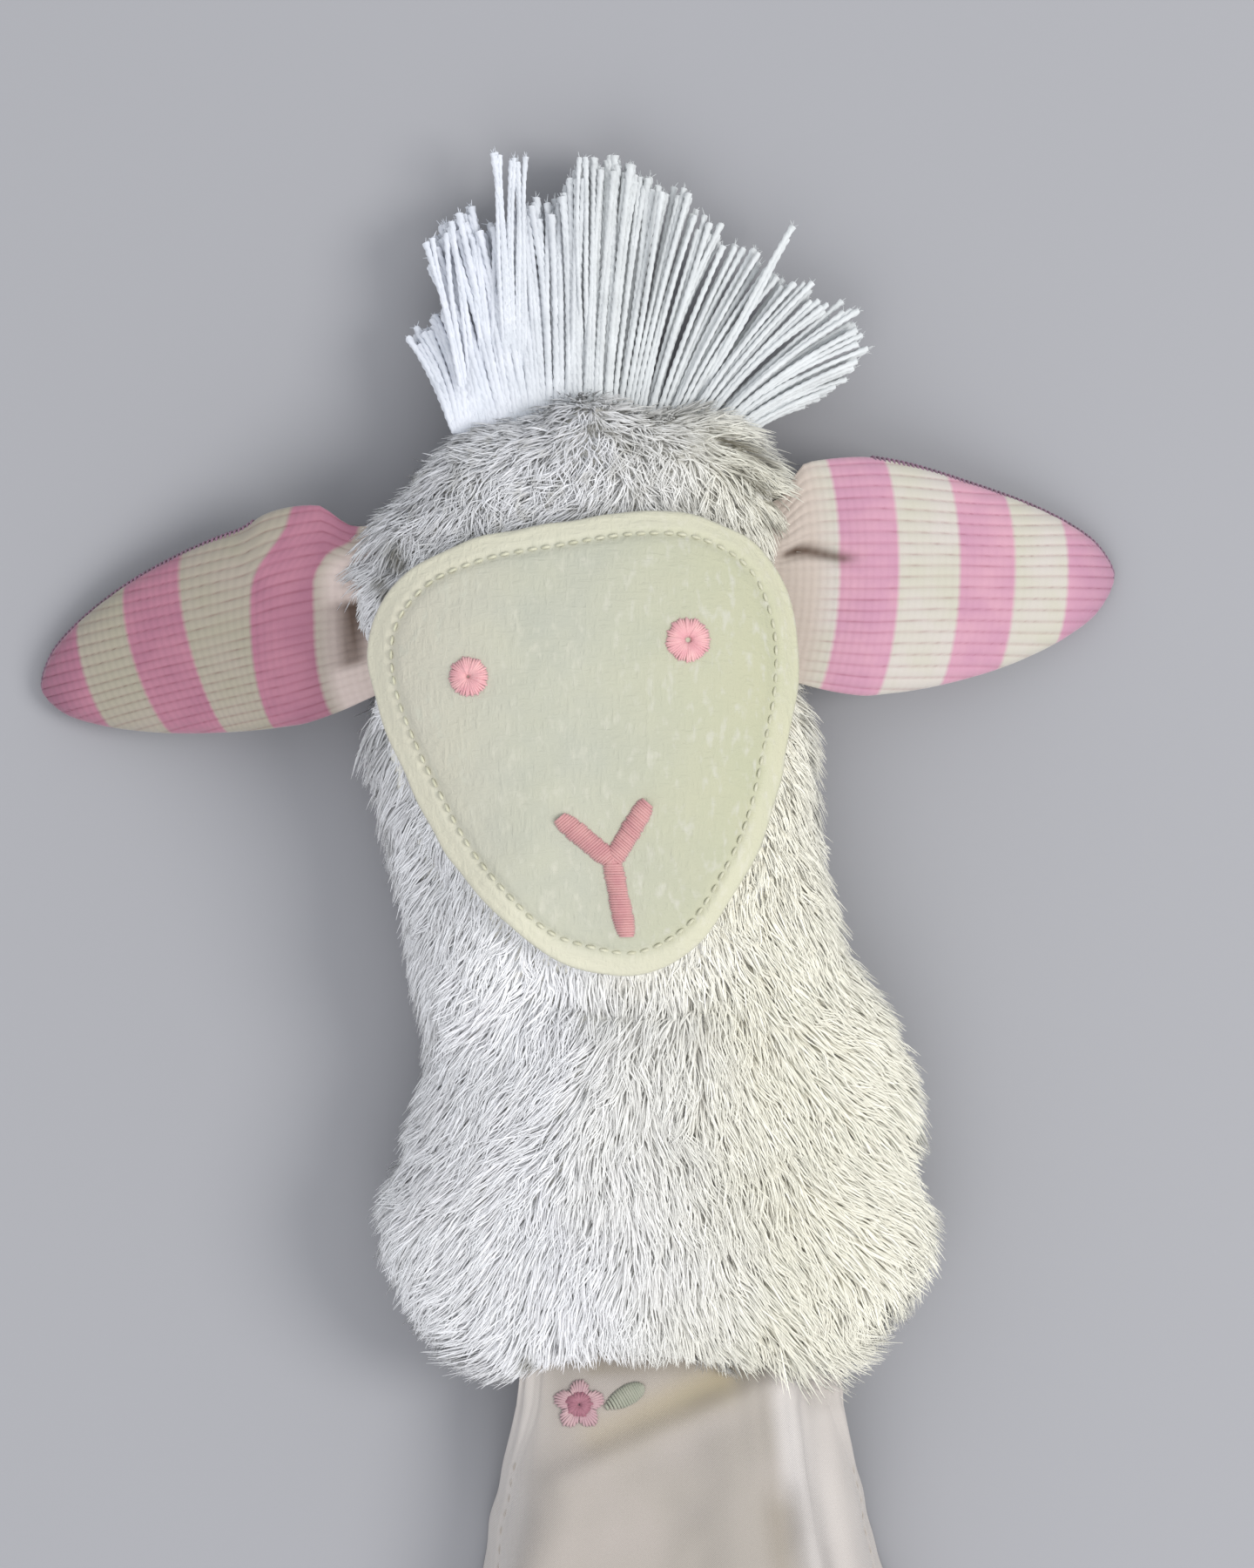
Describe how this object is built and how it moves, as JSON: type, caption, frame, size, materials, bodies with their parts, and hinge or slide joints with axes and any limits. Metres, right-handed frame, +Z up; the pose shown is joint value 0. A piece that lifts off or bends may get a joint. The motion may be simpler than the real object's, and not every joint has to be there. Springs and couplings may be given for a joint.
{
  "type": "baby comforter blanket",
  "caption": "Plush lamb comforter with a stuffed head and torso, felt face, striped knit ears, yarn mane and a thin gathered blanket that flares out below the body.",
  "frame": {"origin": "middle of the flat on the torso's back that the comforter lies on", "axes": "+Z up out of the face, +Y from the torso towards the head and mane, +X to the right as one looks down on the face"},
  "size_m": [0.214, 0.3931, 0.0426],
  "materials": {
    "plush": "long off-white plush pile",
    "filling": "white fibre filling",
    "face_felt": "cream brushed felt",
    "face_thread": "cream sewing thread",
    "embroidery": "pink satin stitch",
    "ear_knit": "rib knit in pink and cream stripes",
    "yarn": "white twisted cotton yarn",
    "tape": "white cotton tape",
    "blanket_cloth": "soft ivory woven cloth",
    "flower_thread": "dark pink stitched thread",
    "leaf_thread": "green stitched thread"
  },
  "bodies": {
    "torso": {"torso_front_plush": "plush", "torso_back_plush": "plush", "torso_filling": "filling", "neck_plush": "plush"},
    "head": {"head_front_plush": "plush", "head_back_plush": "plush", "head_filling": "filling", "face_panel": "face_felt", "face_topstitch": "face_thread", "eye_left": "embroidery", "eye_right": "embroidery", "nose_mouth": "embroidery"},
    "ear_right": {"ear_right_front_knit": "ear_knit", "ear_right_back_knit": "ear_knit", "ear_right_filling": "filling"},
    "ear_left": {"ear_left_front_knit": "ear_knit", "ear_left_back_knit": "ear_knit", "ear_left_filling": "filling"},
    "mane": {"mane_tape": "tape", "mane_yarn_front": "yarn", "mane_yarn_back": "yarn"},
    "blanket": {"blanket_heading": "blanket_cloth", "blanket_top": "blanket_cloth", "blanket_lining": "blanket_cloth", "flower_embroidery": "flower_thread", "leaf_embroidery": "leaf_thread"}
  },
  "joints": [
    {"name": "neck_nod", "type": "hinge", "parent": "torso", "child": "head", "pos_m": [-0.0023, 0.0225, 0.016], "axis": [1, 0, 0], "range_deg": [-22, 34], "stiffness_Nm_per_rad": 0.15},
    {"name": "ear_right_flop", "type": "hinge", "parent": "head", "child": "ear_right", "pos_m": [0.02926, 0.09673, 0.016], "axis": [0.0087, -1, 0], "range_deg": [-60, 85], "stiffness_Nm_per_rad": 0.01},
    {"name": "ear_left_flop", "type": "hinge", "parent": "head", "child": "ear_left", "pos_m": [-0.05583, 0.08908, 0.016], "axis": [-0.1994, 0.9799, 0], "range_deg": [-60, 85], "stiffness_Nm_per_rad": 0.01},
    {"name": "mane_flop", "type": "hinge", "parent": "head", "child": "mane", "pos_m": [-0.01042, 0.12626, 0.016], "axis": [0.9998, -0.0174, 0], "range_deg": [-25, 90], "stiffness_Nm_per_rad": 0.01},
    {"name": "blanket_swing", "type": "hinge", "parent": "torso", "child": "blanket", "pos_m": [0.003, -0.0363, 0.016], "axis": [-1, 0, 0], "range_deg": [-45, 75]}
  ]
}
